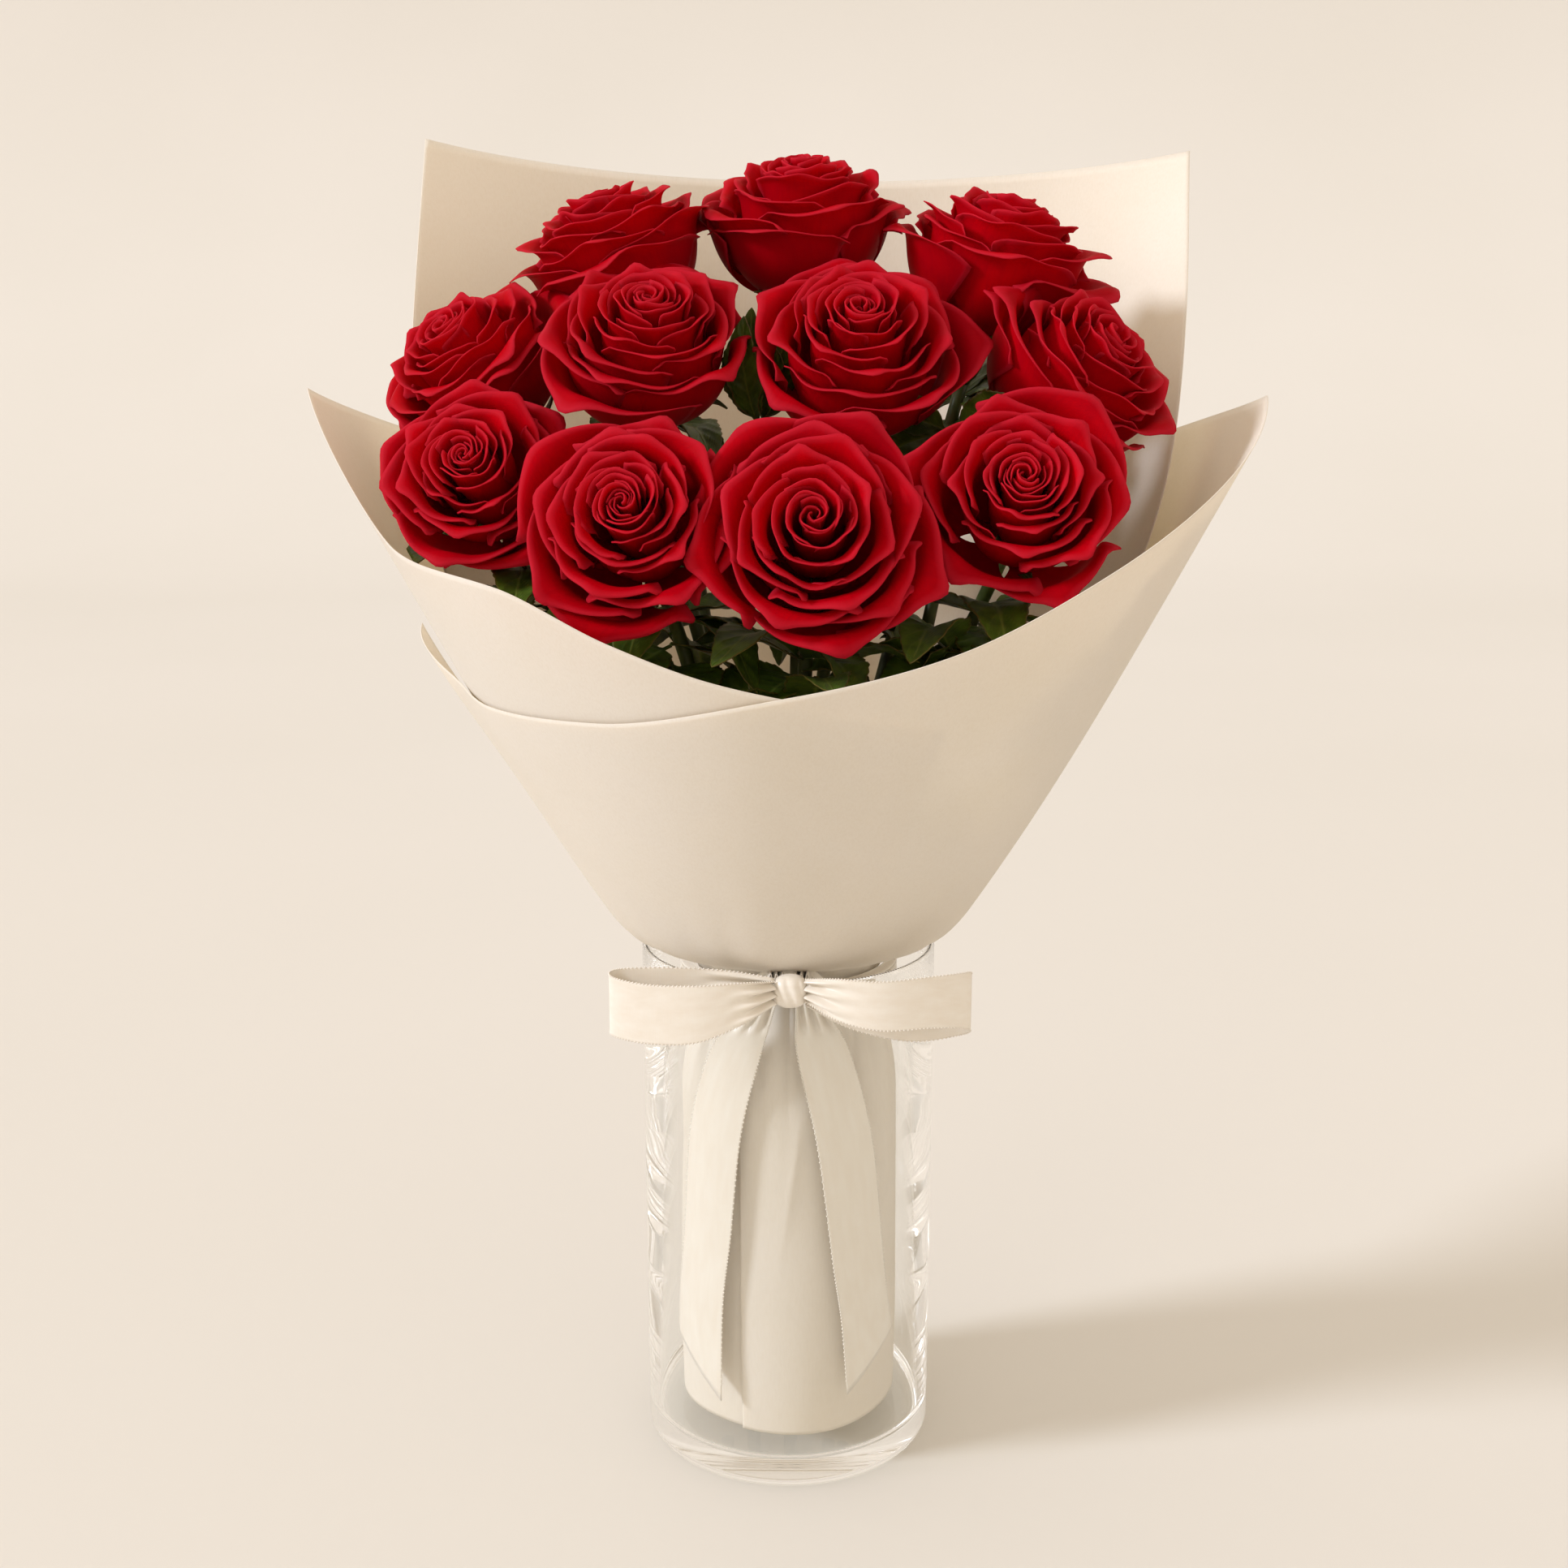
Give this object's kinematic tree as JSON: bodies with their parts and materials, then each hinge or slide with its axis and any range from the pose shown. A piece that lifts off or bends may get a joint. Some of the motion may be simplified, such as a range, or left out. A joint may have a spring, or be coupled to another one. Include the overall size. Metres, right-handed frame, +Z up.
{
  "type": "roses in a vase",
  "caption": "Open cut roses in a flared paper wrap, tied with a satin ribbon bow at the neck and standing in a clear glass cylinder vase that rests on a flat base.",
  "frame": {"origin": "centre of the vase's flat underside", "axes": "+Z up along the vase's axis; -Y is the front of the bouquet, where the bow is; +X is to the right of someone who faces the front"},
  "size_m": [0.3685, 0.2855, 0.5422],
  "materials": {
    "clear_glass": "polished",
    "cream_paper": "matte",
    "satin_ribbon": "satin",
    "rose_petal": "matte",
    "calyx_green": "matte",
    "leaf_green": "satin",
    "stem_green": "satin",
    "tie_twine": "matte"
  },
  "bodies": {
    "root": {"vase": "clear_glass", "paper_front_sheet": "cream_paper", "paper_left_sheet": "cream_paper", "paper_back_sheet": "cream_paper", "paper_skirt": "cream_paper", "ribbon_band": "satin_ribbon", "ribbon_knot": "satin_ribbon", "ribbon_loop_right": "satin_ribbon", "ribbon_loop_left": "satin_ribbon", "ribbon_tail_left": "satin_ribbon", "ribbon_tail_right": "satin_ribbon", "bloom_01": "rose_petal", "calyx_01": "calyx_green", "stem_01": "stem_green", "bloom_02": "rose_petal", "calyx_02": "calyx_green", "stem_02": "stem_green", "bloom_03": "rose_petal", "calyx_03": "calyx_green", "stem_03": "stem_green", "bloom_04": "rose_petal", "calyx_04": "calyx_green", "stem_04": "stem_green", "bloom_05": "rose_petal", "calyx_05": "calyx_green", "stem_05": "stem_green", "bloom_06": "rose_petal", "calyx_06": "calyx_green", "stem_06": "stem_green", "bloom_07": "rose_petal", "calyx_07": "calyx_green", "stem_07": "stem_green", "bloom_08": "rose_petal", "calyx_08": "calyx_green", "stem_08": "stem_green", "bloom_09": "rose_petal", "calyx_09": "calyx_green", "stem_09": "stem_green", "bloom_10": "rose_petal", "calyx_10": "calyx_green", "stem_10": "stem_green", "bloom_11": "rose_petal", "calyx_11": "calyx_green", "stem_11": "stem_green", "leaf_01": "leaf_green", "leaf_02": "leaf_green", "leaf_03": "leaf_green", "leaf_04": "leaf_green", "leaf_05": "leaf_green", "leaf_06": "leaf_green", "leaf_07": "leaf_green", "leaf_08": "leaf_green", "leaf_09": "leaf_green", "leaf_10": "leaf_green", "stem_twine": "tie_twine"}
  },
  "joints": []
}
